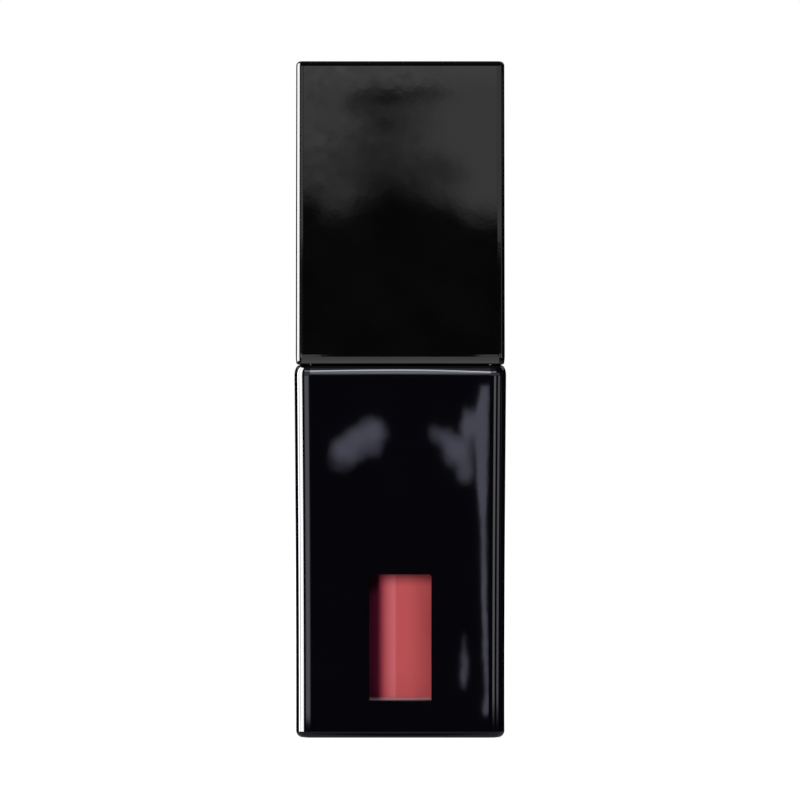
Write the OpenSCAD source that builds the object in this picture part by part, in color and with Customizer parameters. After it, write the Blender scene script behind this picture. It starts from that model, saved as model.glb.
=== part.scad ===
// Square bottle of liquid lip colour, with a screw cap that carries a flocked wand.
// Millimetres, +Z up. The origin is the centre of the base, and the window faces -Y.

/* [Bottle] */
// Width across the flats at the shoulder, where the bottle is widest
bottle_w = 22.1; // [20:0.1:26]
// How much narrower the bottle is at its base
bottle_flare = 0.38; // [0:0.02:0.8]
// Height of the bottle's body, up to its shoulder
bottle_h = 38.75; // [36:0.25:46]
// Radius of the four upright edges
bottle_corner_r = 1.65; // [1.1:0.05:2.4]
// How far the rounded edge of the shoulder runs inwards
shoulder_in = 0.5; // [0.3:0.05:0.9]
// Height of that rounded edge
shoulder_h = 1.1; // [0.4:0.05:1.5]
// Radius round the edge of the base
base_r = 0.68; // [0.3:0.02:0.9]
// Thickness of the black lacquer
lacquer_t = 0.08; // [0.05:0.01:0.15]

/* [Window] */
// Width of the bare window in the lacquer
window_w = 6.45; // [4:0.05:10]
// Height of the window
window_h = 13.2; // [8:0.1:20]
// Height of the window's lower edge above the base
window_z = 3.81; // [2:0.01:8]
// Radius of the window's corners
window_r = 0.25; // [0.1:0.05:1]

/* [Chamber] */
// Diameter of the round chamber that holds the colour
chamber_d = 15.2; // [13:0.1:16]
// Thickness of the glass under the chamber
floor_t = 3.75; // [2.5:0.05:4.2]
// Height of the colour's surface above the base
fill_z = 31; // [22:0.5:32]

/* [Neck] */
// Diameter of the neck without its thread
neck_d = 11.4; // [11.2:0.1:11.8]
// Height of the neck above the shoulder
neck_h = 8.5; // [8.2:0.1:8.8]
// Diameter of the mouth that the wiper sits in
mouth_d = 8.4; // [8:0.1:8.8]
// Rise of the thread in one turn
thread_pitch = 2.5; // [2:0.1:2.6]
// Number of turns of thread
thread_turns = 1.5; // [1:0.25:1.75]

/* [Cap] */
// Width of the cap at its lower edge
cap_w = 21.75; // [20:0.01:22]
// How much narrower the cap is at its top
cap_taper = 0.1; // [0:0.01:0.5]
// Height of the cap
cap_h = 31.48; // [31:0.01:36]
// Radius of the cap's four upright edges
cap_corner_r = 0.75; // [0.5:0.05:1]
// Radius round the edge of the cap's top
cap_top_r = 0.45; // [0.2:0.05:0.45]
// How far the cap's lower edge eases inwards
cap_rim_in = 0.12; // [0.05:0.01:0.25]
// Height of that eased edge
cap_rim_h = 1.05; // [0.2:0.05:1.5]
// Thickness of the cap's side walls
cap_wall = 1.3; // [1:0.05:1.4]
// Gap between the cap and the shoulder when the cap is closed
seam = 0.12; // [0.05:0.01:0.3]

/* [Wand] */
// Diameter of the stem
stem_d = 4; // [3.6:0.1:4]
// Length of the flocked applicator
flock_len = 11.6; // [9:0.1:12]
// Thickness of the flocking
flock_t = 0.6; // [0.4:0.05:0.7]
// Slope of the applicator's slanted face, from upright
slant = 11; // [6:1:13]

/* [Hidden] */
$fn = 96;

eps = 0.01;
// Running clearance between two pieces that turn or slide on each other
run = 0.03;
// Clearance between two pieces pushed together for good
push = 0.01;

// Share of a rounded rim's inset that its corners' radius loses, just under 1 so that it never reaches 0
corner_shrink = 0.98;
// Facets of a block's upright edges, of its rounded rims, and of its height
corner_steps = 6;
rim_steps = 6;
side_steps = 6;
// Facets of a thread in one turn, and those over which it fades in at each end
thread_steps = 40;
fade_steps = 5;
// Facets of the small arcs in the turned profiles
arc_steps = 8;

glass_h = bottle_h - lacquer_t;
mouth_r = mouth_d / 2;
neck_r = neck_d / 2;
rim_z = bottle_h + neck_h;
thread_depth = 0.6;
thread_root = 1.2;
thread_crest = 0.6;
thread_z = rim_z - 5.6;

chamber_r = chamber_d / 2;
chamber_floor_r = 0.6;
chamber_top_z = bottle_h - 5.4;

// The recess under the base and the blank label in it
recess_w = 14;
recess_depth = 0.3;
label_gap = 0.2;
label_t = 0.12;
label_r = 1.2;

// The wiper: a flanged sleeve in the mouth with a funnel that strips the wand
flange_t = 0.6;
flange_r = mouth_r + 1.1;
sleeve_r = mouth_r - 0.7;
orifice_r = stem_d / 2 + 0.15;
sleeve_z = rim_z - 6;
orifice_z = rim_z - 9;

cap_z = bottle_h + seam;
cap_top_z = cap_z + cap_h;
cavity_w = cap_w - cap_taper - 2 * cap_wall;
cavity_r = 0.6;
ceiling_z = cap_top_z - 1.5;

// The threaded insert in the cap: two square flanges, a round skirt and a socket for the stem
insert_z = cap_z + 0.5;
insert_flange_t = 1.1;
skirt_bore_r = neck_r + thread_depth + 0.1 + thread_depth;
skirt_r = skirt_bore_r + 0.9;
seal_z = rim_z + flange_t + 0.05;
insert_top_z = seal_z + 2.6;
socket_r = 3.4;
socket_top_z = insert_top_z + 5.2;
gusset_t = 1;

// Stops that bring the square cap in line with the square bottle
lug_w = 1.2;
lug_h = 0.9;
lug_out_r = neck_r + 1.15;
dog_in_r = neck_r + thread_depth + 0.15;

// The steel weight and the ribs that centre it
weight_d = 15;
weight_h = 9;
weight_z = ceiling_z - weight_h - 0.05;
rib_t = 1;
rib_z = weight_z - 4;

// The wand, from the bottom of the applicator up
stem_r = stem_d / 2;
tip_z = floor_t + 1.35;
flock_r = stem_r + 0.05;
// Distance of the slanted face from the axis at the applicator's lowest point
toe = 0.25;
stem_z = tip_z + flock_len;
stem_top_z = socket_top_z - 1;
plug_r = 1.2;
plug_len = 5;
cavity_clear_r = flock_r + 0.3;

// Points along an arc round (x, y), from angle a to angle b
function arc(x, y, r, a, b) =
    [for (i = [0:arc_steps]) let (t = a + (b - a) * i / arc_steps) [x + r * cos(t), y + r * sin(t)]];

// One ring of points round a square of width w whose corners have radius r
function square_ring(w, r, z) =
    [for (q = [0:3], i = [0:corner_steps])
        let (t = 90 * q + 90 * i / corner_steps,
             x = (w / 2 - r) * (q == 0 || q == 3 ? 1 : -1),
             y = (w / 2 - r) * (q < 2 ? 1 : -1))
        [x + r * cos(t), y + r * sin(t), z]];

// Height and inset of each ring of a block whose lower edge eases in by low_in over low_h,
// and whose upper edge does so by high_in over high_h
function block_levels(h, low_in, low_h, high_in, high_h) = concat(
    [for (i = [0:rim_steps]) let (t = 90 * i / rim_steps) [low_h * (1 - cos(t)), low_in * (1 - sin(t))]],
    [for (i = [1:side_steps - 1]) [low_h + (h - low_h - high_h) * i / side_steps, 0]],
    [for (i = [rim_steps:-1:0])
        let (t = 90 * i / rim_steps)
        [h - high_h * (1 - cos(t)), high_in * (1 - sin(t))]]);

// Faces of a stack of n rings of m points, closed at both ends
function stack_faces(n, m) = concat(
    [[for (j = [0:m - 1]) j]],
    [for (i = [0:n - 2], j = [0:m - 1])
        [i * m + j, (i + 1) * m + j, (i + 1) * m + (j + 1) % m, i * m + (j + 1) % m]],
    [[for (j = [m - 1:-1:0]) (n - 1) * m + j]]);

// Square block with rounded edges, whose width goes from w_low to w_high as height to the power curve
module block(h, w_low, w_high, curve, corner_r, low_in, low_h, high_in, high_h) {
    levels = block_levels(h, low_in, low_h, high_in, high_h);
    rings = [for (level = levels)
        square_ring(w_low + (w_high - w_low) * pow(level[0] / h, curve) - 2 * level[1],
                    corner_r - level[1] * corner_shrink, level[0])];
    polyhedron([for (ring = rings) each ring], stack_faces(len(rings), len(rings[0])), 4);
}

// Flat square with round corners
module rounded_square(w, h, r) {
    square([w - 2 * r, h], center = true);
    square([w, h - 2 * r], center = true);
    for (x = [-1, 1], y = [-1, 1])
        translate([x * (w / 2 - r), y * (h / 2 - r)])
            circle(r);
}

// Helical thread from radius root_r to crest_r, which fades out at both ends
module thread(root_r, crest_r, z) {
    outward = crest_r > root_r;
    n = thread_steps * thread_turns;
    rings = [for (i = [0:n])
        let (t = 360 * i / thread_steps,
             fade = max(0.1, min(1, min(i, n - i) / fade_steps)),
             r = root_r + (crest_r - root_r) * fade,
             section = [[root_r, -thread_root / 2], [r, -thread_crest / 2],
                        [r, thread_crest / 2], [root_r, thread_root / 2]])
        [for (k = [0:3])
            let (p = section[outward ? 3 - k : k])
            [p[0] * cos(t), p[0] * sin(t), z + thread_pitch * i / thread_steps + p[1]]]];
    polyhedron([for (ring = rings) each ring], stack_faces(len(rings), 4), 4);
}

// The chamber's outline, from the floor to height top, as half of a turned profile
function chamber_outline(top) = concat(
    [[0, floor_t]],
    arc(chamber_r - chamber_floor_r, floor_t + chamber_floor_r, chamber_floor_r, -90, 0),
    [[chamber_r, top], [0, top]]);

module chamber() {
    rotate_extrude()
        polygon(chamber_outline(chamber_top_z));
    translate([0, 0, chamber_top_z - eps])
        cylinder(h = chamber_r - mouth_r, r1 = chamber_r, r2 = mouth_r);
    translate([0, 0, chamber_top_z])
        cylinder(h = rim_z, r = mouth_r);
}

// The bottle's body, with everything but its base moved in by inset
module bottle_block(inset) {
    w = bottle_w - 2 * inset;
    block(bottle_h - inset, w - bottle_flare, w, 2, bottle_corner_r - inset,
          base_r, base_r, shoulder_in, shoulder_h);
}

module glass_bottle() color("#d9e4e2") {
    difference() {
        union() {
            bottle_block(lacquer_t);
            cylinder(h = rim_z, r = neck_r);
            thread(neck_r - 0.2, neck_r + thread_depth, thread_z);
            translate([0, -lug_w / 2, glass_h - eps])
                cube([lug_out_r, lug_w, lacquer_t + lug_h]);
        }
        chamber();
        translate([0, 0, -eps])
            linear_extrude(recess_depth + eps)
                rounded_square(recess_w, recess_w, label_r + label_gap);
    }
}

module window_hole() {
    translate([0, 0, window_z + window_h / 2])
        rotate([90, 0, 0])
            linear_extrude(bottle_w)
                rounded_square(window_w, window_h, window_r);
}

module lacquer_coat() color("#08080b") {
    difference() {
        bottle_block(0);
        bottle_block(lacquer_t);
        cylinder(h = rim_z, r = lug_out_r + 0.1);
        window_hole();
        translate([-bottle_w, -bottle_w, -1])
            cube([2 * bottle_w, 2 * bottle_w, 1 + lacquer_t / 2]);
    }
}

module base_label() color("#e8e6e0") {
    translate([0, 0, recess_depth - label_t])
        linear_extrude(label_t)
            rounded_square(recess_w - 2 * label_gap, recess_w - 2 * label_gap, label_r);
}

module lip_color() color("#b44c50") {
    difference() {
        rotate_extrude()
            polygon(chamber_outline(fill_z));
        translate([0, 0, tip_z - 0.3])
            cylinder(h = fill_z, r = cavity_clear_r);
    }
}

module wiper() color("#f2f2ee") {
    wall = mouth_r - sleeve_r;
    rotate_extrude()
        polygon([[sleeve_r, rim_z + flange_t], [sleeve_r, sleeve_z], [orifice_r, orifice_z + 0.5],
                 [orifice_r, orifice_z], [orifice_r + 0.45, orifice_z], [mouth_r - push, sleeve_z - wall],
                 [mouth_r - push, rim_z], [flange_r, rim_z], [flange_r, rim_z + flange_t]]);
}

module outer_cap() color("#0a0a0c") {
    difference() {
        translate([0, 0, cap_z])
            block(cap_h, cap_w, cap_w - cap_taper, 1, cap_corner_r,
                  cap_rim_in, cap_rim_h, cap_top_r, cap_top_r);
        translate([0, 0, cap_z - 1])
            linear_extrude(ceiling_z - cap_z + 1)
                rounded_square(cavity_w, cavity_w, cavity_r);
    }
    for (a = [0:90:270])
        rotate([0, 0, a])
            translate([weight_d / 2 + run, -rib_t / 2, rib_z])
                cube([(cavity_w - weight_d) / 2 - run + eps, rib_t, ceiling_z - rib_z + eps]);
}

module insert_flange(z) {
    translate([0, 0, z])
        linear_extrude(insert_flange_t)
            rounded_square(cavity_w - 2 * push, cavity_w - 2 * push, cavity_r);
}

module inner_cap() color("#1b1b1e") {
    difference() {
        union() {
            insert_flange(insert_z);
            insert_flange(insert_top_z - insert_flange_t);
            translate([0, 0, insert_z])
                cylinder(h = insert_top_z - insert_z, r = skirt_r);
            translate([0, 0, insert_top_z - eps])
                cylinder(h = socket_top_z - insert_top_z + eps, r = socket_r);
            for (a = [45:90:315])
                rotate([0, 0, a])
                    translate([0, gusset_t / 2, insert_top_z - eps])
                        rotate([90, 0, 0])
                            linear_extrude(gusset_t)
                                polygon([[0, 0], [skirt_r, 0], [socket_r, 3.5], [0, 3.5]]);
        }
        translate([0, 0, insert_z - 1])
            cylinder(h = seal_z - insert_z + 1, r = skirt_bore_r);
        translate([0, 0, seal_z - eps])
            cylinder(h = stem_top_z + push - seal_z + eps, r = stem_r + run);
    }
    thread(skirt_bore_r + 0.2, skirt_bore_r - thread_depth, thread_z - thread_pitch / 2);
    translate([dog_in_r, lug_w / 2 + run, insert_z])
        cube([skirt_bore_r - dog_in_r + 0.3, lug_w, lug_h]);
}

module cap_weight() color("#9a9ca0") {
    chamfer = 0.4;
    r = weight_d / 2;
    rotate_extrude()
        polygon([[0, weight_z], [r - chamfer, weight_z], [r, weight_z + chamfer],
                 [r, weight_z + weight_h - chamfer], [r - chamfer, weight_z + weight_h],
                 [0, weight_z + weight_h]]);
}

module wand_stem() color("#141416") {
    difference() {
        translate([0, 0, stem_z])
            cylinder(h = stem_top_z - stem_z, r = stem_r);
        translate([0, 0, stem_z - eps])
            cylinder(h = plug_len + 0.3, r = plug_r + run);
    }
}

// The applicator moved in by inset: a round-ended rod whose front is cut off at a slant
module doe_foot(inset, top) {
    r = flock_r - inset;
    difference() {
        rotate_extrude()
            polygon(concat([[0, top], [r, top]], arc(0, tip_z + flock_r, r, 0, -90)));
        translate([0, inset / cos(slant) - toe, tip_z])
            rotate([slant, 0, 0])
                translate([-2 * r, -4 * r, -flock_len])
                    cube([4 * r, 4 * r, 2 * flock_len]);
    }
}

module applicator_tip() color("#c9c5bf") {
    doe_foot(flock_t, stem_z - push);
    translate([0, 0, stem_z - 1])
        cylinder(h = plug_len + 1, r = plug_r);
}

module applicator_flock() color("#b8585b") {
    difference() {
        doe_foot(0, stem_z - push);
        doe_foot(flock_t, stem_z);
    }
}

glass_bottle();
lacquer_coat();
base_label();
lip_color();
wiper();
outer_cap();
inner_cap();
cap_weight();
wand_stem();
applicator_tip();
applicator_flock();
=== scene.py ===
import math
import random

import bmesh
import bpy
from mathutils import Matrix, Vector, noise


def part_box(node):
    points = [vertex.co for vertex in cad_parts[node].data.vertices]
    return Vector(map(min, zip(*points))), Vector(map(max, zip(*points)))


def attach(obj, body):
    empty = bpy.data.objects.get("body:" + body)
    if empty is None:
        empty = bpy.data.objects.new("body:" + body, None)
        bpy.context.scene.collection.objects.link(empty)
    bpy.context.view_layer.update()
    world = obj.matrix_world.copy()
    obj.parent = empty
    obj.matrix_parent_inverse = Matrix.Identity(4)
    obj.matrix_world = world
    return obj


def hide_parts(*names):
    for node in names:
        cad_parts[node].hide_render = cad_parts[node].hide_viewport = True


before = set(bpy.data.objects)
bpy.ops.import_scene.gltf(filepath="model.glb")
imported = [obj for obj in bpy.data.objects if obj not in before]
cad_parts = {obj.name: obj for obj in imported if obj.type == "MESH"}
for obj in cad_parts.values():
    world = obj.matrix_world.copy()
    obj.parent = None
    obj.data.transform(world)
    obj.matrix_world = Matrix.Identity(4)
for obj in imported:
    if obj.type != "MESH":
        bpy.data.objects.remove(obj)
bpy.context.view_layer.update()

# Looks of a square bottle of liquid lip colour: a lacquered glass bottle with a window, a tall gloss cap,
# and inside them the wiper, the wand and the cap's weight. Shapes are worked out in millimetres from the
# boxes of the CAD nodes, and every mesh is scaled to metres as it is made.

MM = 0.001


# ------------------------ sizes, in millimetres

def span(node):
    """Lowest and highest corner of a CAD node, in millimetres."""
    low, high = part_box(node)
    return low / MM, high / MM


GLASS_HIGH = span("glass_bottle")[1]
COAT_HIGH = span("lacquer_coat")[1]
FILL_LOW, FILL_HIGH = span("lip_color")
WIPER_LOW, WIPER_HIGH = span("wiper")
CAP_LOW, CAP_HIGH = span("outer_cap")
INSERT_LOW, INSERT_HIGH = span("inner_cap")
WEIGHT_LOW, WEIGHT_HIGH = span("cap_weight")
STEM_LOW, STEM_HIGH = span("wand_stem")
TIP_HIGH = span("applicator_tip")[1]
FLOCK_LOW, FLOCK_HIGH = span("applicator_flock")
LABEL_LOW, LABEL_HIGH = span("base_label")

# Bottle
BOTTLE_H = COAT_HIGH.z
BOTTLE_W = 2 * COAT_HIGH.x
BOTTLE_FLARE = 0.38
BOTTLE_CORNER = 1.65
SHOULDER_IN = 0.5
SHOULDER_H = 1.1
BASE_R = 0.68
COAT_T = 0.08
# How far the lacquer and the colour are sunk into the glass, so that no film of air lies between them, and
# how far the wiper is clear of it
BOND = 0.01
NECK_R = 5.7
MOUTH_R = 4.2
RECESS_W = 14.0
RECESS_DEPTH = 0.3
BARE_NECK_R = 6.95
CHAMBER_R = FILL_HIGH.x
CHAMBER_TOP = BOTTLE_H - 5.4
FLOOR_Z = FILL_LOW.z
WAND_CLEAR_R = 2.35

# Window in the lacquer
WINDOW_W = 6.45
WINDOW_H = 13.2
WINDOW_Z = 3.81
WINDOW_R = 0.25
WINDOW_TOP = WINDOW_Z + WINDOW_H

# Screw thread
PITCH = 2.5
TURNS = 1.5
THREAD_DEPTH = 0.6
THREAD_ROOT = 1.2
THREAD_CREST = 0.6
# Turns over which the thread runs out at each end, and height between the rings that it is made of
THREAD_FADE = 0.12
THREAD_STEP = 0.1
THREAD_Z = GLASS_HIGH.z - 5.6

# Cap
CAP_H = CAP_HIGH.z - CAP_LOW.z
CAP_TAPER = 0.1
CAP_W = 2 * CAP_HIGH.x
CAP_CORNER = 0.75
CAP_TOP_R = 0.45
CAP_RIM_IN = 0.12
CAP_RIM_H = 1.05
CAP_WALL = 1.3
CAP_ROOF = 1.5
CAVITY_W = CAP_W - CAP_TAPER - 2 * CAP_WALL
CAVITY_R = 0.6
RIB_T = 1.0
RIB_H = WEIGHT_HIGH.z - WEIGHT_LOW.z + 4

# Threaded insert
SKIRT_BORE_R = NECK_R + 2 * THREAD_DEPTH + 0.1
SKIRT_R = SKIRT_BORE_R + 0.9
SEAL_Z = WIPER_HIGH.z + 0.05
INSERT_TOP = SEAL_Z + 2.6
SOCKET_R = 3.4
FLANGE_T = 1.1
GUSSET_T = 0.9

# Wand
STEM_R = STEM_HIGH.x
RUN = 0.03
FLOCK_R = FLOCK_HIGH.x
FLOCK_T = 0.6
# Fibres of the flocking, and how deep a part of it they fill
FIBRES = 6000
FIBRE_L = 0.2
# Lean of the applicator's sliced front, and how far in front of the axis the slice starts at the foot
SLANT = math.radians(11)
TOE = 0.25
PLUG_R = 1.2


# ------------------------ rings and meshes

# Points of a ring along each of its four rounded corners and each of its four flats
CORNER_STEPS = 14
FLAT_STEPS = 42
QUADRANT = CORNER_STEPS + FLAT_STEPS
# Steps round each rounded corner of an outline
ROUND_STEPS = 5
# Faces that meet at more than this angle keep a sharp edge
SHARP = math.radians(35)


def quadrant_angles():
    """The even angles of a full circle that has one point for each point of a square ring."""
    step = 90 / QUADRANT
    return [90 * q + 45 + (i - CORNER_STEPS / 2) * step for q in range(4) for i in range(QUADRANT)]


ANGLES = [math.radians(a) for a in quadrant_angles()]


def circle_ring(radius, z):
    return [Vector((radius * math.cos(a), radius * math.sin(a), z)) for a in ANGLES]


def gathered(share):
    """From 1 to -1 as share goes from 0 to 1, with points close together at both ends, where a flat meets an
    arc, so that smooth shading leaves the flat flat."""
    return math.cos(math.pi * share)


def square_ring(width, corner, z):
    """Ring round a square whose corners have the given radius, starting at its +X +Y corner."""
    points = []
    reach = width / 2 - corner
    for q in range(4):
        turn = Matrix.Rotation(math.radians(90 * q), 3, "Z")
        for i in range(CORNER_STEPS + 1):
            a = math.radians(90 * i / CORNER_STEPS)
            points.append(turn @ Vector((reach + corner * math.cos(a), reach + corner * math.sin(a), z)))
        for i in range(1, FLAT_STEPS):
            points.append(turn @ Vector((reach * gathered(i / FLAT_STEPS), width / 2, z)))
    return points


def square_rings(*rows):
    """Square rings from rows of (width, corner radius, height)."""
    return [square_ring(*row) for row in rows]


def smooth_step(x):
    """0 below 0, 1 above 1, and an easy curve between them."""
    x = min(1, max(0, x))
    return x * x * (3 - 2 * x)


def add_object(name, data):
    """A new object in the scene."""
    thing = bpy.data.objects.new(name, data)
    bpy.context.scene.collection.objects.link(thing)
    return thing


def drawn_in(ring):
    """A ring a little nearer its middle."""
    middle = sum(ring, Vector()) / len(ring)
    return [p.lerp(middle, 0.05) for p in ring]


def skin(name, rings, loop=False):
    """Closed mesh over a stack of equal rings. The stack's two ends close with a point in their middle,
    and a ring near their edge that keeps their shading flat, unless the last ring joins the first."""
    if not loop:
        rings = [drawn_in(rings[0]), *rings, drawn_in(rings[-1])]
    count = len(rings[0])
    points = [p * MM for ring in rings for p in ring]
    faces = []
    for i in range(len(rings) if loop else len(rings) - 1):
        a = i * count
        b = (i + 1) % len(rings) * count
        for j in range(count):
            k = (j + 1) % count
            faces.append((a + j, a + k, b + k, b + j))
    if not loop:
        for base in (0, (len(rings) - 1) * count):
            ring = points[base:base + count]
            points.append(sum(ring, Vector()) / count)
            faces += [(base + j, base + (j + 1) % count, len(points) - 1) for j in range(count)]
    mesh = bpy.data.meshes.new(name)
    mesh.from_pydata([tuple(p) for p in points], [], faces)
    piece = add_object(name, mesh)
    tidy(piece)
    return piece


def tidy(piece):
    """Outward faces and smooth shading, with sharp edges where faces meet at more than SHARP."""
    bm = bmesh.new()
    bm.from_mesh(piece.data)
    bmesh.ops.recalc_face_normals(bm, faces=bm.faces)
    for face in bm.faces:
        face.smooth = True
    for edge in bm.edges:
        edge.smooth = edge.is_manifold and edge.calc_face_angle(0) < SHARP
    bm.to_mesh(piece.data)
    bm.free()


def rounded(outline, closed=False):
    """A flat outline of (x, y, radius) corners as plain points, each corner rounded by its radius."""
    points = []
    count = len(outline)
    for i, (x, y, radius) in enumerate(outline):
        corner = Vector((x, y))
        if radius == 0 or (not closed and i in (0, count - 1)):
            points.append(corner)
            continue
        back = (Vector(outline[i - 1][:2]) - corner).normalized()
        ahead = (Vector(outline[(i + 1) % count][:2]) - corner).normalized()
        half = back.angle(ahead) / 2
        centre = corner + (back + ahead).normalized() * radius / math.sin(half)
        first = corner + back * radius / math.tan(half) - centre
        last = corner + ahead * radius / math.tan(half) - centre
        sweep = first.angle_signed(last)
        for s in range(ROUND_STEPS + 1):
            points.append(centre + Matrix.Rotation(-sweep * s / ROUND_STEPS, 2) @ first)
    return points


def turned(outline, closed=False):
    """Rings of a turned shape from an outline of (radius, height, rounding), but not points on the axis."""
    return [circle_ring(p.x, p.y) for p in rounded(outline, closed) if p.x > 1e-6]


def lathe(name, outline, closed=False):
    """Turned piece from an outline. An open one starts and ends on the axis."""
    return skin(name, turned(outline, closed), loop=closed)


def thread_height(angle, z, start_z):
    """Share of its full depth that a helical thread has at an angle and height on a cylinder."""
    turn = angle / math.tau % 1
    height = (z - start_z) / PITCH - turn
    level = round(height)
    along = level + turn
    if not 0 <= along <= TURNS:
        return 0
    off = abs(height - level) * PITCH
    flank = (THREAD_ROOT / 2 - off) / ((THREAD_ROOT - THREAD_CREST) / 2)
    fade = min(along, TURNS - along) / THREAD_FADE
    return smooth_step(flank) * smooth_step(fade)


def threaded_rings(radius, depth, low, high, start_z):
    """Rings up a cylinder with a thread on it: depth is positive for an outer thread."""
    count = math.ceil((high - low) / THREAD_STEP)
    rings = []
    for i in range(count + 1):
        z = low + (high - low) * i / count
        ring = []
        for a in ANGLES:
            r = radius + depth * thread_height(a, z, start_z)
            ring.append(Vector((r * math.cos(a), r * math.sin(a), z)))
        rings.append(ring)
    return rings


def arc_values(start, end, steps):
    return [math.radians(start + (end - start) * i / steps) for i in range(steps + 1)]


def cut(piece, cutter):
    """Takes the cutter's shape out of a piece for good, and deletes the cutter."""
    boolean(piece, cutter, "DIFFERENCE")


def weld(piece, other):
    """Joins another closed shape to a piece for good, and deletes it."""
    boolean(piece, other, "UNION")


def boolean(piece, other, operation):
    modifier = piece.modifiers.new(operation, "BOOLEAN")
    modifier.operation = operation
    modifier.solver = "EXACT"
    modifier.object = other
    evaluated = piece.evaluated_get(bpy.context.evaluated_depsgraph_get())
    mesh = bpy.data.meshes.new_from_object(evaluated)
    piece.modifiers.clear()
    piece.data = mesh
    bpy.data.objects.remove(other)
    tidy(piece)


def prism(name, outline, low, high):
    """Straight solid over a flat outline of points, from height low to height high."""
    rings = [[Vector((p.x, p.y, z)) for p in outline] for z in (low, high)]
    return skin(name, rings)


def upright_plate(name, outline, thickness, turn):
    """Plate over an outline of (radius, height) points, upright and turned round the axis in degrees."""
    plate = prism(name, [Vector(p) for p in outline], -thickness / 2, thickness / 2)
    stand = Matrix.Rotation(math.pi / 2, 4, "X")
    plate.data.transform(Matrix.Rotation(math.radians(turn), 4, "Z") @ stand)
    return plate


# ------------------------ bottle

def bottle_width(z):
    return BOTTLE_W - BOTTLE_FLARE * (1 - (z / BOTTLE_H) ** 2)


def bottle_ring(z, inset, shrink):
    return square_ring(bottle_width(z) - 2 * inset, BOTTLE_CORNER - shrink, z)


def bottle_sides(inset, bottom, levels=60):
    """Rings up the bottle's outside, moved in by inset, from height bottom to the shoulder's flat top."""
    rings = []
    start = math.degrees(math.acos(1 - bottom / BASE_R))
    for t in arc_values(start, 90, 8):
        edge = BASE_R * (1 - math.sin(t))
        rings.append(bottle_ring(BASE_R * (1 - math.cos(t)), inset + edge, inset + edge))
    top = BOTTLE_H - inset
    low_z = BASE_R
    high_z = top - SHOULDER_H
    for i in range(1, levels):
        rings.append(bottle_ring(low_z + (high_z - low_z) * (1 - gathered(i / levels)) / 2, inset, inset))
    for t in arc_values(90, 0, 10):
        edge = SHOULDER_IN * (1 - math.sin(t))
        rings.append(bottle_ring(top - SHOULDER_H * (1 - math.cos(t)), inset + edge, inset + edge))
    return rings


def waved(ring):
    """A ring of the lacquer with the slow unevenness of moulded glass, which only ever moves it inwards."""
    depth = 0.004
    length = 9.0
    moved = []
    for p in ring:
        share = noise.noise(Vector((p.x, p.y, p.z * 0.7)) / length + Vector((3.1, 0.4, 1.7)))
        outward = Vector((p.x, p.y, 0)).normalized()
        moved.append(p - outward * depth * (0.5 + 0.5 * share))
    return moved


def make_lacquer():
    outer = [waved(ring) for ring in bottle_sides(0, COAT_T / 2)]
    outer += [drawn_in(outer[-1]), circle_ring(BARE_NECK_R, BOTTLE_H)]
    inner = bottle_sides(COAT_T + BOND, COAT_T / 2)
    inner.append(circle_ring(BARE_NECK_R, BOTTLE_H - COAT_T - BOND))
    shell = skin("lacquer", outer + inner[::-1], loop=True)
    half_w = WINDOW_W / 2
    corners = [(-half_w, 0), (half_w, 0), (half_w, WINDOW_H), (-half_w, WINDOW_H)]
    outline = rounded([(x, z, WINDOW_R) for x, z in corners], closed=True)
    hole = prism("window_cutter", outline, 0, BOTTLE_W / 4)
    hole.data.transform(Matrix.Translation(Vector((0, -BOTTLE_W / 3, WINDOW_Z)) * MM)
                        @ Matrix.Rotation(math.pi / 2, 4, "X"))
    cut(shell, hole)
    return shell


def make_glass():
    rings = square_rings(
        (RECESS_W - 1.0, 0.9, RECESS_DEPTH), (RECESS_W - 0.1, 1.35, RECESS_DEPTH),
        (RECESS_W, 1.4, RECESS_DEPTH - 0.05), (RECESS_W, 1.4, 0.05), (RECESS_W + 0.1, 1.45, 0))
    rings += bottle_sides(COAT_T, 0, levels=24)
    neck_foot = BOTTLE_H - COAT_T
    for t in arc_values(0, 90, 5):
        foot = 0.4
        rings.append(circle_ring(NECK_R + foot * (1 - math.sin(t)), neck_foot + foot * (1 - math.cos(t))))
    rim = GLASS_HIGH.z
    rings += threaded_rings(NECK_R, THREAD_DEPTH, neck_foot + 0.5, rim - 0.35, THREAD_Z)
    rings += turned([
        (NECK_R, rim - 0.3, 0), (NECK_R, rim, 0.25), (MOUTH_R, rim, 0.15), (MOUTH_R, CHAMBER_TOP + 3.4, 1.2),
        (CHAMBER_R, CHAMBER_TOP, 1.6), (CHAMBER_R, FLOOR_Z, 0.6), (1, FLOOR_Z, 0)])
    return skin("glass_body", rings)


def make_fill():
    """The colour, sunk a little into the chamber's wall, with a meniscus and a clear way for the wand."""
    wall = CHAMBER_R + BOND
    level = FILL_HIGH.z
    well = FLOOR_Z + 0.85
    return lathe("colour_fill", [
        (WAND_CLEAR_R, well, 0), (WAND_CLEAR_R, level, 0.1), (WAND_CLEAR_R + 0.5, level - 0.35, 0.3),
        (wall - 0.7, level - 0.4, 0.4), (wall, level, 0.05), (wall, FLOOR_Z - BOND, 0.6),
        (0.5, FLOOR_Z - BOND, 0), (0.5, well, 0)], closed=True)


def make_wiper():
    top = WIPER_HIGH.z
    rim = GLASS_HIGH.z
    bottom = WIPER_LOW.z
    bore = MOUTH_R - 0.7
    orifice = STEM_R + 0.15
    return lathe("wiper_sleeve", [
        (bore, top, 0.25), (bore, rim - 6, 0.6), (orifice, bottom + 0.5, 0.2), (orifice, bottom, 0.1),
        (orifice + 0.45, bottom, 0.15), (MOUTH_R - BOND, rim - 6.7, 0.8), (MOUTH_R - BOND, rim, 0.08),
        (WIPER_HIGH.x, rim, 0.05), (WIPER_HIGH.x, top, 0.2)], closed=True)


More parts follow.
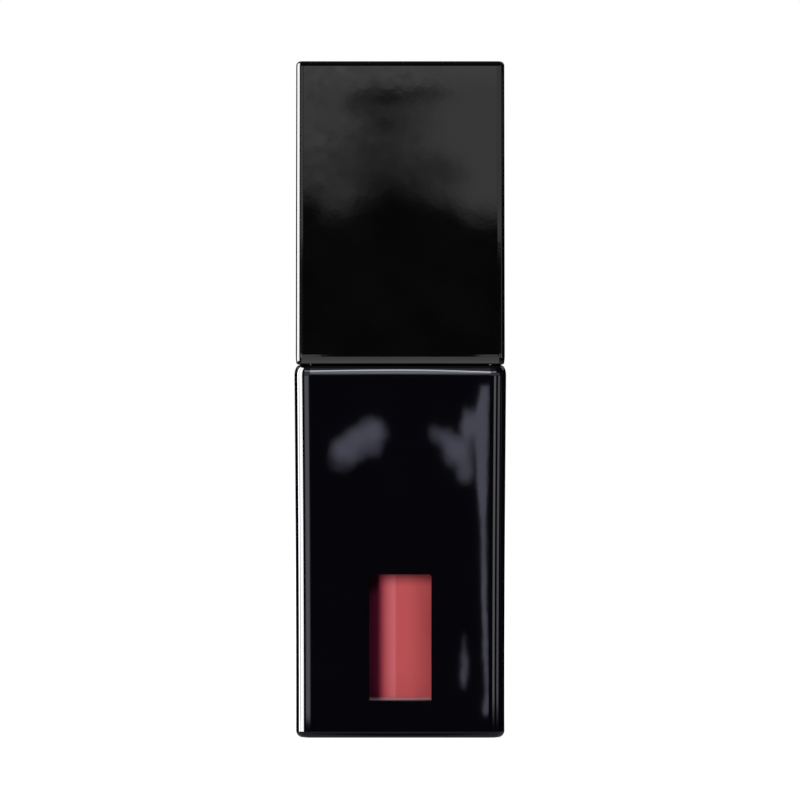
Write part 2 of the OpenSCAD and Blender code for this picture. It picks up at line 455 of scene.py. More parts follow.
def make_label():
    width = 2 * LABEL_HIGH.x
    return skin("blank_label", square_rings(
        (width - 0.06, 1.17, LABEL_LOW.z), (width, 1.2, LABEL_LOW.z + 0.03),
        (width, 1.2, LABEL_HIGH.z - 0.03), (width - 0.06, 1.17, LABEL_HIGH.z)))


# ------------------------ cap

def make_cap():
    rings = []
    base = CAP_LOW.z

    def cap_ring(z, inset):
        return square_ring(CAP_W - CAP_TAPER * (z - base) / CAP_H - 2 * inset, CAP_CORNER - inset * 0.98, z)

    for t in arc_values(0, 90, 10):
        rings.append(cap_ring(base + CAP_RIM_H * (1 - math.cos(t)), CAP_RIM_IN * (1 - math.sin(t))))
    low_z = base + CAP_RIM_H
    high_z = CAP_HIGH.z - CAP_TOP_R
    for i in range(1, 30):
        rings.append(cap_ring(low_z + (high_z - low_z) * (1 - gathered(i / 30)) / 2, 0))
    for t in arc_values(90, 0, 8):
        rings.append(cap_ring(CAP_HIGH.z - CAP_TOP_R * (1 - math.cos(t)), CAP_TOP_R * (1 - math.sin(t))))
    shell = skin("cap_shell", rings)
    roof = CAP_HIGH.z - CAP_ROOF
    cavity = skin("cavity_cutter", square_rings(
        (CAVITY_W + 0.3, CAVITY_R + 0.15, base - 1), (CAVITY_W + 0.3, CAVITY_R + 0.15, base),
        (CAVITY_W, CAVITY_R, base + 0.15), (CAVITY_W, CAVITY_R, roof - 0.2),
        (CAVITY_W - 0.4, CAVITY_R - 0.2, roof)))
    cut(shell, cavity)
    for q in range(4):
        weld(shell, make_rib(q, roof))
    return shell


def make_rib(quarter, roof):
    """One of the four ribs inside the cap that centre the weight, with a chamfered foot."""
    inner = WEIGHT_HIGH.x + RUN
    outer = CAVITY_W / 2 + 0.2
    foot = roof - RIB_H
    outline = [(inner + 0.6, foot), (outer, foot - 0.6), (outer, roof + 0.2), (inner, roof + 0.2),
               (inner, foot + 0.6)]
    return upright_plate("rib", outline, RIB_T, 90 * quarter)


def square_plate(name, z, thickness):
    """Plate with softened edges that fills the cap's cavity."""
    width = CAVITY_W - 0.02
    edge = 0.12
    return skin(name, square_rings(
        (width - 2 * edge, CAVITY_R - edge, z), (width, CAVITY_R, z + edge),
        (width, CAVITY_R, z + thickness - edge), (width - 2 * edge, CAVITY_R - edge, z + thickness)))


def make_insert():
    """The cap's threaded insert: a skirt with an inner thread, two square flanges, a socket and gussets."""
    low = INSERT_LOW.z
    top = INSERT_HIGH.z
    socket_bore = STEM_R + RUN
    socket_top = STEM_HIGH.z + 0.01
    rings = turned([
        (1, socket_top, 0), (socket_bore, socket_top, 0.1), (socket_bore, SEAL_Z, 0.1),
        (SKIRT_BORE_R, SEAL_Z, 0.3), (SKIRT_BORE_R, SEAL_Z - 0.6, 0)])
    rings += threaded_rings(SKIRT_BORE_R, -THREAD_DEPTH, low + 0.2, SEAL_Z - 0.7, THREAD_Z - PITCH / 2)[::-1]
    rings += turned([
        (SKIRT_BORE_R + 0.2, low, 0), (SKIRT_R, low, 0.15), (SKIRT_R, INSERT_TOP, 0.2),
        (SOCKET_R, INSERT_TOP, 0.4), (SOCKET_R, top, 0.3), (1, top, 0)])
    insert = skin("threaded_insert", rings)
    for z in (low, INSERT_TOP - FLANGE_T):
        plate = square_plate("flange", z, FLANGE_T)
        cut(plate, lathe("flange_cutter", [(0, z - 1, 0), (SKIRT_R - 0.2, z - 1, 0),
                                           (SKIRT_R - 0.2, z + 3, 0), (0, z + 3, 0)]))
        weld(insert, plate)
    for q in range(4):
        weld(insert, make_gusset(q))
    weld(insert, make_stop_dog())
    return insert


def make_gusset(quarter):
    """One of the four webs that brace the socket, at the corners."""
    inner = SOCKET_R - 0.4
    outer = SKIRT_R - 0.2
    outline = [(inner, INSERT_TOP - 0.2), (outer, INSERT_TOP - 0.2), (outer, INSERT_TOP + 0.15),
               (SOCKET_R, INSERT_TOP + 3.5), (inner, INSERT_TOP + 3.5)]
    return upright_plate("gusset", outline, GUSSET_T, 45 + 90 * quarter)


def make_stop_dog():
    """The small stop that lines the cap's square up with the bottle's. The lug that it meets is on the CAD's
    neck, and this glass leaves it out."""
    inner = NECK_R + THREAD_DEPTH + 0.15
    outer = SKIRT_BORE_R + 0.3
    near = 0.63
    far = 1.83
    outline = rounded([(inner, near, 0.1), (outer, near, 0), (outer, far, 0), (inner, far, 0.1)], closed=True)
    return prism("stop_dog", outline, INSERT_LOW.z + 0.02, INSERT_LOW.z + 0.92)


def make_weight():
    radius = WEIGHT_HIGH.x
    low = WEIGHT_LOW.z
    high = WEIGHT_HIGH.z
    middle = (low + high) / 2
    return lathe("steel_weight", [
        (0, low, 0), (3.0, low, 0), (3.2, low + 0.15, 0), (3.4, low, 0), (radius - 0.4, low, 0.1),
        (radius, low + 0.4, 0.1), (radius, middle - 0.5, 0.05), (radius - 0.25, middle - 0.3, 0.05),
        (radius - 0.25, middle + 0.3, 0.05), (radius, middle + 0.5, 0.05), (radius, high - 0.4, 0.1),
        (radius - 0.4, high, 0.1), (3.4, high, 0), (3.2, high - 0.15, 0), (3.0, high, 0), (0, high, 0)])


# ------------------------ wand

def make_stem():
    bore = PLUG_R + RUN
    return lathe("stem_rod", [
        (0.5, STEM_LOW.z + 5.3, 0), (bore, STEM_LOW.z + 5.3, 0.05), (bore, STEM_LOW.z, 0.05),
        (STEM_R, STEM_LOW.z, 0.2), (STEM_R, STEM_HIGH.z, 0.25), (0, STEM_HIGH.z, 0)])


def foot_rings(inset, top):
    """Rings of the applicator moved in by inset: a round-ended rod whose front is sliced off at a slant."""
    radius = FLOCK_R - inset
    centre_z = FLOCK_LOW.z + FLOCK_R
    rings = []
    levels = 40
    heights = [centre_z - radius * math.cos(t) for t in arc_values(12, 90, 8)]
    heights += [centre_z + (top - centre_z) * i / levels for i in range(1, levels + 1)]
    for z in heights:
        below = max(0, centre_z - z)
        r = math.sqrt(max(1e-6, radius * radius - below * below))
        front = inset / math.cos(SLANT) - TOE - (z - FLOCK_LOW.z) * math.tan(SLANT)
        ring = []
        for a in ANGLES:
            x = r * math.cos(a)
            y = r * math.sin(a)
            ring.append(Vector((x, soft_max(y, front, 0.25), z)))
        rings.append(ring)
    return rings


def soft_max(value, floor, blend):
    """The larger of two values, but turning smoothly from one to the other over about blend."""
    gap = (value - floor) / blend
    if gap > 4:
        return value
    if gap < -4:
        return floor
    return floor + blend * math.log1p(math.exp(gap))


def make_tip():
    rings = foot_rings(FLOCK_T, FLOCK_HIGH.z)
    rings += [circle_ring(PLUG_R, FLOCK_HIGH.z + 0.01), circle_ring(PLUG_R, TIP_HIGH.z - 0.2),
              circle_ring(PLUG_R - 0.2, TIP_HIGH.z)]
    return skin("tip_core", rings)


def make_flock():
    """Sleeve over the core with a coat of short fibres, each a closed spike that leans its own way."""
    top = FLOCK_HIGH.z - 0.02
    outer = foot_rings(FIBRE_L, top)
    inner = foot_rings(FLOCK_T - 0.02, top)
    tips = foot_rings(0.02, top)
    sleeve = skin("flock_sleeve", outer + inner[::-1])
    mesh = bmesh.new()
    mesh.from_mesh(sleeve.data)
    chance = random.Random(7)
    for _ in range(FIBRES):
        level = chance.randrange(3, len(outer) - 2)
        side = chance.randrange(len(ANGLES))
        root = between_points(outer, level, side, chance.random(), chance.random())
        lean = chance.uniform(-1, 1), chance.uniform(-1, 1)
        tip = between_points(tips, level, side, 0.5 + lean[0], 0.5 + lean[1])
        add_spike(mesh, root * MM, (root + (tip - root) * chance.uniform(0.6, 1)) * MM, 0.03 * MM)
    mesh.to_mesh(sleeve.data)
    mesh.free()
    return sleeve


def between_points(rings, level, side, up, around):
    """A place on a skin of rings, moved up and around from one point by shares of the gaps to the next."""
    low = rings[level][side].lerp(rings[level][(side + 1) % len(ANGLES)], around)
    high = rings[level + 1][side].lerp(rings[level + 1][(side + 1) % len(ANGLES)], around)
    return low.lerp(high, up)


def add_spike(mesh, root, tip, width):
    """A thin closed pyramid from a three-sided foot, sunk a little below the root, to the tip."""
    along = (tip - root).normalized()
    across = along.orthogonal().normalized() * width
    foot = root - along * width
    turns = [Matrix.Rotation(math.radians(120 * i), 3, along) for i in range(3)]
    base = [mesh.verts.new(foot + turn @ across) for turn in turns]
    top = mesh.verts.new(tip)
    mesh.faces.new(base[::-1])
    for a, b in ((0, 1), (1, 2), (2, 0)):
        mesh.faces.new((base[a], base[b], top))


# ------------------------ node helpers

def build(tree, kind, sockets=None, **settings):
    """A shader node of a kind, with its settings, and each named socket set or linked."""
    made = tree.nodes.new("ShaderNode" + kind)
    for name, value in settings.items():
        setattr(made, name, value)
    for socket, value in (sockets or {}).items():
        if isinstance(value, bpy.types.NodeSocket):
            tree.links.new(value, made.inputs[socket])
        else:
            made.inputs[socket].default_value = value
    return made


def surface(name, sockets):
    """A new material, its tree and its shader, with the shader's plain sockets set."""
    material = bpy.data.materials.new(name)
    material.use_nodes = True
    tree = material.node_tree
    shader = tree.nodes["Principled BSDF"]
    for socket, value in sockets.items():
        shader.inputs[socket].default_value = value
    return material, tree, shader


def sized_coords(tree, size, stretch=(1, 1, 1)):
    """The piece's own coordinates in units of a size in millimetres, stretched along each axis."""
    coords = build(tree, "TexCoord").outputs["Object"]
    scale = [1 / (size * MM * s) for s in stretch]
    return build(tree, "VectorMath", {0: coords, 1: scale}, operation="MULTIPLY").outputs[0]


def speckle(tree, size, detail=2.0, stretch=(1, 1, 1)):
    """Noise with features of a size in millimetres, stretched along each axis."""
    sockets = {"Vector": sized_coords(tree, size, stretch), "Scale": 1.0, "Detail": detail}
    return build(tree, "TexNoise", sockets).outputs["Fac"]


def between(tree, value, low, high, start=0.3, end=0.7, interpolation="LINEAR"):
    """A value that goes from low to high as another goes from start to end."""
    sockets = {"Value": value, "From Min": start, "From Max": end, "To Min": low, "To Max": high}
    return build(tree, "MapRange", sockets, interpolation_type=interpolation).outputs["Result"]


def ease(tree, value, low, high, start, end):
    """The same as between, but easing in and out."""
    return between(tree, value, low, high, start, end, "SMOOTHSTEP")


def tint(tree, value, *stops):
    """A colour picked along stops of (position, (r, g, b))."""
    ramp = build(tree, "ValToRGB", {"Fac": value})
    elements = ramp.color_ramp.elements
    while len(elements) < len(stops):
        elements.new(0.5)
    for element, (position, color) in zip(elements, stops):
        element.position = position
        element.color = (*color, 1)
    return ramp.outputs["Color"]


def mixed(tree, share, low, high):
    """A colour between two others."""
    return build(tree, "MixRGB", {"Fac": share, "Color1": low, "Color2": high}).outputs["Color"]


def combine(tree, operation, *values):
    """One value from several, by a maths operation taken from left to right."""
    result = values[0]
    for value in values[1:]:
        result = build(tree, "Math", {0: result, 1: value}, operation=operation).outputs[0]
    return result


def relief(tree, shader, *layers):
    """Bump on a shader from layers of (height from 0 to 1, depth in millimetres)."""
    normal = None
    for height, depth in layers:
        sockets = {"Height": height, "Distance": depth * MM, "Strength": 1.0}
        if normal is not None:
            sockets["Normal"] = normal
        normal = build(tree, "Bump", sockets).outputs["Normal"]
    tree.links.new(normal, shader.inputs["Normal"])


def own_axes(tree):
    """The piece's own x, y and z in millimetres."""
    coords = sized_coords(tree, 1)
    return build(tree, "SeparateXYZ", {0: coords}).outputs


def axis_distance(tree, axes):
    """Distance from the bottle's axis in millimetres, from a piece's own axes."""
    squares = [combine(tree, "MULTIPLY", axes[name], axes[name]) for name in "XY"]
    return combine(tree, "SQRT", combine(tree, "ADD", *squares), 0)


def link(tree, value, shader, socket):
    tree.links.new(value, shader.inputs[socket])


def mottle(tree, shader, value, low, high):
    """Base colour that drifts from one colour to another with a value."""
    link(tree, tint(tree, value, (0.3, low), (0.7, high)), shader, "Base Color")


def roughen(tree, shader, value, low, high):
    """Roughness that goes from low to high with a value."""
    link(tree, between(tree, value, low, high), shader, "Roughness")


# ------------------------ materials

def black_lacquer():
    """Sprayed lacquer: nearly a mirror, with a faint orange peel and the slightest smears."""
    material, tree, shader = surface("black_lacquer", {"IOR": 1.5})
    mottle(tree, shader, speckle(tree, 6), (0.0017, 0.0014, 0.0027), (0.0024, 0.0020, 0.0036))
    roughen(tree, shader, speckle(tree, 9, detail=4), 0.012, 0.02)
    relief(tree, shader, (speckle(tree, 1.1, detail=1), 0.00015))
    return material


def cap_black():
    """Moulded gloss plastic: a deeper orange peel than the lacquer, and a slow unevenness of the wall."""
    material, tree, shader = surface("cap_black", {"IOR": 1.5})
    mottle(tree, shader, speckle(tree, 4, detail=3), (0.0020, 0.0019, 0.0021), (0.0032, 0.0030, 0.0032))
    roughen(tree, shader, speckle(tree, 5, detail=4), 0.022, 0.032)
    relief(tree, shader, (speckle(tree, 2.6, detail=2), 0.0016), (speckle(tree, 0.45, detail=1), 0.00025))
    return material


def clear_glass():
    """Thick moulded glass. Its shadow is clear, so that the lamps reach what is behind it."""
    sockets = {"IOR": 1.5, "Transmission Weight": 1.0, "Roughness": 0.0}
    material, tree, shader = surface("clear_glass", sockets)
    mottle(tree, shader, speckle(tree, 8), (0.955, 0.985, 0.975), (0.97, 0.99, 0.985))
    relief(tree, shader, (speckle(tree, 5, detail=1), 0.002))
    clear = build(tree, "BsdfTransparent", {"Color": (0.95, 0.97, 0.965, 1)})
    shadow = build(tree, "LightPath").outputs["Is Shadow Ray"]
    mix = build(tree, "MixShader", {0: shadow, 1: shader.outputs[0], 2: clear.outputs[0]})
    tree.links.new(mix.outputs[0], tree.nodes["Material Output"].inputs["Surface"])
    return material


def lip_liquid():
    """Opaque rosy colour with slow streaks, a paler stripe that is a painted highlight, painted shadow at the
    left side and the top of the window, and a painted pale highlight along its foot.
    """
    material, tree, shader = surface("lip_liquid", {"Roughness": 0.3, "Specular IOR Level": 0.1})
    streak = speckle(tree, 3, detail=3, stretch=(1, 1, 3))
    body = tint(tree, streak, (0.25, (0.43, 0.068, 0.074)), (0.75, (0.48, 0.079, 0.086)))
    x, y, z = own_axes(tree)
    # A paler stripe down the front, a little left of the middle: a painted highlight
    rise = ease(tree, x, 0, 1, start=-1.9, end=-0.5)
    fall = between(tree, x, 1, 0, start=-0.56, end=-0.42)
    front = between(tree, y, 1, 0, start=-1, end=0)
    painted_highlight_stripe = combine(tree, "MULTIPLY", rise, fall, front, 0.42)
    body = mixed(tree, painted_highlight_stripe, body, (0.56, 0.16, 0.20, 1))
    # Paler colour along the foot, just above the chamber's floor: a painted highlight
    foot = ease(tree, z, 1, 0, start=FLOOR_Z + 0.12, end=FLOOR_Z + 0.4)
    # Darker colour at the front's left side: a painted shadow
    painted_left_shadow = ease(tree, x, 0.88, 0, start=-2.6, end=-1.2)
    body = mixed(tree, combine(tree, "MULTIPLY", painted_left_shadow, front), body, (0.16, 0.010, 0.048, 1))
    body = mixed(tree, foot, body, (0.42, 0.24, 0.26, 1))
    # Near black at the front's top, reaching lower and darker at the left side: a painted shadow
    side = ease(tree, x, 1, 0, start=-2.6, end=-1.9)
    height = combine(tree, "ADD", z, side)
    painted_top_shadow_ramp = between(tree, height, 0, 1, start=WINDOW_TOP - 1.4, end=WINDOW_TOP)
    painted_top_shadow = combine(tree, "MULTIPLY", painted_top_shadow_ramp, between(tree, side, 0.42, 0.95), front)
    link(tree, mixed(tree, painted_top_shadow, body, (0.02, 0.004, 0.008, 1)), shader, "Base Color")
    relief(tree, shader, (speckle(tree, 1.6, detail=2), 0.004))
    return material


def label_paper():
    """Blank satin paper with a fine grain of fibres."""
    material, tree, shader = surface("label_paper", {"Specular IOR Level": 0.3})
    fibres = speckle(tree, 0.25, detail=4, stretch=(1, 3, 1))
    mottle(tree, shader, fibres, (0.72, 0.71, 0.67), (0.80, 0.79, 0.77))
    roughen(tree, shader, fibres, 0.5, 0.7)
    relief(tree, shader, (fibres, 0.008))
    return material


def wiper_ldpe():
    """Milky soft plastic, stained by the colour towards its orifice."""
    material, tree, shader = surface("wiper_ldpe", {"Subsurface Weight": 0.3, "Subsurface Scale": 0.5 * MM})
    low = ease(tree, own_axes(tree)["Z"], 1, 0, start=WIPER_LOW.z + 1, end=WIPER_LOW.z + 5)
    stain = combine(tree, "MULTIPLY", low, between(tree, speckle(tree, 1.2, detail=3), 0.2, 1))
    link(tree, mixed(tree, stain, (0.86, 0.86, 0.83, 1), (0.55, 0.13, 0.14, 1)), shader, "Base Color")
    roughen(tree, shader, speckle(tree, 0.8, detail=3), 0.35, 0.5)
    relief(tree, shader, (speckle(tree, 0.3), 0.003))
    return material


def insert_pp():
    """Satin moulded polypropylene with a fine spark-eroded grain."""
    material, tree, shader = surface("insert_pp", {"IOR": 1.49})
    mottle(tree, shader, speckle(tree, 3, detail=3), (0.014, 0.014, 0.016), (0.022, 0.022, 0.024))
    roughen(tree, shader, speckle(tree, 1.5, detail=3), 0.28, 0.42)
    relief(tree, shader, (speckle(tree, 0.16), 0.004))
    return material


def weight_steel():
    """Zinc-plated steel with the fine rings of a lathe tool."""
    material, tree, shader = surface("weight_steel", {"Metallic": 1.0, "Anisotropic": 0.5})
    axes = own_axes(tree)
    along = build(tree, "CombineXYZ", {"X": axis_distance(tree, axes), "Z": axes["Z"]}).outputs[0]
    rings = build(tree, "TexNoise", {"Vector": along, "Scale": 14.0, "Detail": 2.0}).outputs["Fac"]
    mottle(tree, shader, speckle(tree, 2, detail=4), (0.50, 0.50, 0.52), (0.62, 0.62, 0.62))
    roughen(tree, shader, rings, 0.22, 0.4)
    relief(tree, shader, (rings, 0.004))
    return material


def stem_black():
    """Polished black rod, with a thin film of the colour where it stands in the bottle."""
    material, tree, shader = surface("stem_black", {"IOR": 1.5})
    low = between(tree, own_axes(tree)["Z"], 1, 0, start=FLOCK_HIGH.z, end=FILL_HIGH.z)
    smear = combine(tree, "ADD", low, speckle(tree, 0.9, detail=4, stretch=(1, 1, 7)))
    wet = ease(tree, smear, 0, 1, start=0.85, end=1.25)
    link(tree, mixed(tree, wet, (0.012, 0.012, 0.014, 1), (0.33, 0.045, 0.05, 1)), shader, "Base Color")
    roughen(tree, shader, speckle(tree, 2, detail=3), 0.08, 0.2)
    relief(tree, shader, (wet, 0.02), (speckle(tree, 0.5), 0.0008))
    return material


def tip_core():
    """Pale moulded plastic."""
    material, tree, shader = surface("tip_core", {"IOR": 1.45})
    cloud = speckle(tree, 1, detail=3)
    mottle(tree, shader, cloud, (0.58, 0.54, 0.50), (0.65, 0.61, 0.57))
    roughen(tree, shader, cloud, 0.4, 0.55)
    relief(tree, shader, (speckle(tree, 0.2), 0.003))
    return material


def flocking():
    """Short dense nylon fibres, wet with the colour, with a velvet sheen."""
    sockets = {"Sheen Weight": 0.6, "Sheen Roughness": 0.4, "Specular IOR Level": 0.35}
    material, tree, shader = surface("flocking", sockets)
    clump = speckle(tree, 0.7, detail=3)
    mottle(tree, shader, clump, (0.34, 0.055, 0.062), (0.50, 0.11, 0.12))
    roughen(tree, shader, clump, 0.45, 0.75)
    relief(tree, shader, (speckle(tree, 0.09, detail=1), 0.01))
    return material


# ------------------------ pieces

# Each piece: how it is made, its material, the CAD node that it stands for, and the body that it rides on
PIECES = [
    (make_lacquer, black_lacquer, "lacquer_coat", "bottle"),
    (make_glass, clear_glass, "glass_bottle", "bottle"),
    (make_fill, lip_liquid, "lip_color", "bottle"),
    (make_wiper, wiper_ldpe, "wiper", "bottle"),
    (make_label, label_paper, "base_label", "bottle"),
    (make_cap, cap_black, "outer_cap", "cap"),
    (make_insert, insert_pp, "inner_cap", "cap"),
    (make_weight, weight_steel, "cap_weight", "draw_carrier"),
    (make_stem, stem_black, "wand_stem", "screw_carrier"),
    (make_tip, tip_core, "applicator_tip", "cap"),
    (make_flock, flocking, "applicator_flock", "cap"),
]


def add_piece(make, material, node, body):
    piece = make()
    smoothing = piece.modifiers.new("flat_faces", "WEIGHTED_NORMAL")
    smoothing.keep_sharp = True
    piece.data.materials.clear()
    piece.data.materials.append(material())
    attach(piece, body)
    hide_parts(node)
    return piece


made = {row[2]: add_piece(*row) for row in PIECES}
bottle = [made["lacquer_coat"], made["glass_bottle"]]


# ------------------------ camera

# The camera stands level with the object's middle, about 461 mm in front of its face
CAMERA = Vector((-0.03, -472.4, 35.13))

camera_data = bpy.data.cameras.new("camera")
camera_data.lens = 200
camera_data.sensor_width = 36
camera_data.clip_start = 0.01
camera = add_object("camera", camera_data)
camera.location = CAMERA * MM
camera.rotation_euler = (math.pi / 2, 0, 0)
bpy.context.scene.camera = camera
bpy.context.scene.view_settings.view_transform = "Standard"


# ------------------------ studio

# Soft boxes round the object, as gloss sees them: azimuth from the front towards +X, from and to; softness
# of the two sides; elevation, from and to; softness of the two ends, all in degrees; and colour
SOFT_BOXES = [
    ((-88.3, -62), 0.6, (-9, 42), 0.6, (22, 22, 22.5)),
    ((-108, -91.7), 0.6, (-9, 42), 0.6, (22, 22, 22.5)),
    ((-43, -13), 12, (-4.17, 0.35), 0.15, (1.75, 1.75, 1.95)),
    ((27, 42), 0.6, (-4.08, 0.35), 0.3, (1.90, 1.90, 1.95)),
    ((58, 75), 0.6, (-4.08, 0.35), 0.3, (1.35, 1.35, 1.40)),
    ((-43, -13), 12, (0.35, 2.2), 0.3, (0.18, 0.18, 0.20)),
    ((58, 75), 0.6, (0.35, 2.2), 0.3, (0.50, 0.50, 0.52)),
    ((-43, -6), 12, (2.2, 12), 0.3, (0.95, 0.95, 1.00)),
    ((3.5, 70), 0.6, (2.2, 12), 0.3, (0.80, 0.80, 0.84)),
    ((112, 155), 10, (16, 60), 10, (0.6, 0.6, 0.65)),
    ((-155, -112), 10, (16, 60), 10, (0.6, 0.6, 0.65)),
]
# Light that gloss sees from below and from above, and the elevations over which each fades in or out
GLOSS_BELOW = (0.30, 0.30, 0.31)
BELOW_FADE = (-16, -5.5)
GLOSS_ABOVE = (0.08, 0.09, 0.12)
ABOVE_FADE = (35, 70)
# What lies beyond the glass: white, fading to grey over these degrees up or down; and the little light that
# comes through it to a dull surface
CLEAR_FADE = (30, 65)
LIGHT_THROUGH = (0.09, 0.075, 0.14, 1)
# Distance of the soft lamps and the linked panels
STUDIO_R = 700


def soft_window(tree, value, low, high, softness):
    """1 where a value lies between low and high, and 0 outside, with soft edges."""
    opens = ease(tree, value, 0, 1, low - softness / 2, low + softness / 2)
    shuts = ease(tree, value, 1, 0, high - softness / 2, high + softness / 2)
    return combine(tree, "MULTIPLY", opens, shuts)


def scaled(tree, color, share):
    return build(tree, "VectorMath", {0: color, "Scale": share}, operation="SCALE").outputs[0]


def summed(tree, first, second):
    return build(tree, "VectorMath", {0: first, 1: second}, operation="ADD").outputs[0]


def make_world():
    """White to the camera, dark with soft boxes to gloss, and dark to dull surfaces, which lamps light."""
    world = bpy.data.worlds.new("studio")
    bpy.context.scene.world = world
    world.use_nodes = True
    tree = world.node_tree
    x, y, z = build(tree, "SeparateXYZ", {0: build(tree, "TexCoord").outputs["Generated"]}).outputs
    backwards = combine(tree, "MULTIPLY", y, -1)
    degrees = 180 / math.pi
    azimuth = combine(tree, "MULTIPLY", combine(tree, "ARCTAN2", x, backwards), degrees)
    elevation = combine(tree, "MULTIPLY", combine(tree, "ARCSINE", z, 0), degrees)
    below = ease(tree, elevation, 1, 0, *BELOW_FADE)
    above = ease(tree, elevation, 0, 1, *ABOVE_FADE)
    gloss = summed(tree, scaled(tree, GLOSS_BELOW, below), scaled(tree, GLOSS_ABOVE, above))
    for azimuths, side_softness, elevations, end_softness, color in SOFT_BOXES:
        share = combine(tree, "MULTIPLY", soft_window(tree, azimuth, *azimuths, side_softness),
                        soft_window(tree, elevation, *elevations, end_softness))
        gloss = summed(tree, gloss, scaled(tree, color, share))
    path = build(tree, "LightPath").outputs
    tilt = combine(tree, "ABSOLUTE", elevation, 0)
    clear = ease(tree, tilt, 1, 0.25, *CLEAR_FADE)
    backdrop = build(tree, "CombineXYZ", {0: clear, 1: clear, 2: clear}).outputs[0]
    from_dull = combine(tree, "GREATER_THAN", path["Diffuse Depth"], 0.5)
    through = mixed(tree, from_dull, backdrop, LIGHT_THROUGH)
    dull = mixed(tree, path["Is Camera Ray"], (0, 0, 0, 1), (1, 1, 1, 1))
    seen = mixed(tree, path["Is Glossy Ray"], dull, gloss)
    seen = mixed(tree, path["Is Transmission Ray"], seen, through)
    link(tree, seen, tree.nodes["Background"], "Color")


def only_on(lamp, *pieces):
    """The lamp or card lights these pieces alone."""
    group = bpy.data.collections.new(lamp.name + "_receivers")
    for piece in pieces:
        group.objects.link(piece)
    lamp.light_linking.receiver_collection = group


def unseen(thing, **visible):
    """Hides a lamp, card or floor from all kinds of ray but the ones given as True."""
    for kind in ("camera", "diffuse", "glossy", "transmission", "volume_scatter", "shadow"):
        setattr(thing, "visible_" + kind, visible.get(kind, False))


def direction(azimuth, elevation):
    """Unit vector towards an azimuth, from the front towards +X, and an elevation, in degrees."""
    a = math.radians(azimuth)
    e = math.radians(elevation)
    return Vector((math.sin(a) * math.cos(e), -math.cos(a) * math.cos(e), math.sin(e)))


def aim(thing, azimuth, elevation, distance, target):
    """Puts a thing at an azimuth, elevation and distance from a target, in millimetres, facing it."""
    out = direction(azimuth, elevation)
    thing.location = (target + out * distance) * MM
    thing.rotation_euler = out.to_track_quat("Z", "Y").to_euler()


def add_lamp(name, azimuth, elevation, size, distance, target, radiance):
    """Rectangular lamp: size is its width and height in degrees as seen from the target."""
    data = bpy.data.lights.new(name, "AREA")
    data.shape = "RECTANGLE"
    data.size = 2 * distance * MM * math.tan(math.radians(size[0] / 2))
    data.size_y = 2 * distance * MM * math.tan(math.radians(size[1] / 2))
    data.energy = radiance * math.pi * data.size * data.size_y
    lamp = add_object(name, data)
    aim(lamp, azimuth, elevation, distance, target)
    return lamp


def add_lamps():
    """Soft lamps for the dull surfaces; two for the colour, at the angles that light has once it is inside
    the glass; and those that show along the cap's lower edge."""
    middle = Vector((0, 0, 35))
    dull = [made[n] for n in made if n not in ("lip_color", "glass_bottle")] + [floor]
    for name, azimuth, elevation, size, radiance in (
            ("key", -60, 35, (50, 50), 2.6), ("fill", 60, 25, (50, 50), 1.4), ("rim", 150, 45, (50, 40), 1.6),
            ("back", -150, 45, (50, 40), 1.6), ("top", 0, 88, (50, 50), 1.0)):
        lamp = add_lamp(name, azimuth, elevation, size, STUDIO_R, middle, radiance)
        unseen(lamp, diffuse=True, shadow=True)
        only_on(lamp, *dull)
    window = Vector((0, -BOTTLE_W / 2, WINDOW_Z + WINDOW_H / 2))
    for name, azimuth, width, radiance in (("window_near", -19.25, 10.5, 42), ("window_side", -31, 14, 11.5)):
        lamp = add_lamp(name, azimuth, 9, (width, 17), 150, window, radiance)
        unseen(lamp, diffuse=True, shadow=True)
        only_on(lamp, made["lip_color"])
    edge = Vector((0, -CAP_W / 2, CAP_LOW.z + 0.6))
    for name, azimuth, elevation, size in (
            ("cap_edge", 0, -18, (50, 30.4)), ("cap_edge_left", -4.5, -1.7, (5.4, 2.4)),
            ("cap_edge_right", 4.5, -1.7, (5.4, 2.4))):
        lamp = add_lamp(name, azimuth, elevation, size, 590, edge, 1.1)
        unseen(lamp, glossy=True)
        only_on(lamp, made["outer_cap"])


def glowing(name, color):
    """Light of one colour whose strength is the mesh's own attribute "glow"."""
    material = bpy.data.materials.new(name)
    material.use_nodes = True
    tree = material.node_tree
    tree.nodes.remove(tree.nodes["Principled BSDF"])
    strength = build(tree, "Attribute", attribute_name="glow").outputs["Fac"]
    light = build(tree, "Emission", {"Color": (*color, 1), "Strength": strength})
    tree.links.new(light.outputs[0], tree.nodes["Material Output"].inputs["Surface"])
    return material


def add_sheet(name, columns, rows, place):
    """Part of the studio: a grid of columns by rows, whose points are a function of two shares from 0 to 1.
    The shares of every point come with it."""
    shares = [(i / columns, j / rows) for j in range(rows + 1) for i in range(columns + 1)]
    wide = columns + 1
    faces = [(j * wide + i, j * wide + i + 1, (j + 1) * wide + i + 1, (j + 1) * wide + i)
             for j in range(rows) for i in range(columns)]
    mesh = bpy.data.meshes.new(name)
    mesh.from_pydata([tuple(place(u, v) * MM) for u, v in shares], [], faces)
    sheet = add_object(name, mesh)
    return sheet, shares


def add_card(name, columns, rows, place, glow, color):
    """Glowing sheet seen by gloss only, whose strength is a function of the same shares as its points."""
    card, shares = add_sheet(name, columns, rows, place)
    layer = card.data.attributes.new("glow", "FLOAT", "POINT")
    for item, (u, v) in zip(layer.data, shares):
        item.value = glow(u, v)
    card.data.materials.append(glowing(name, color))
    unseen(card, glossy=True)
    return card


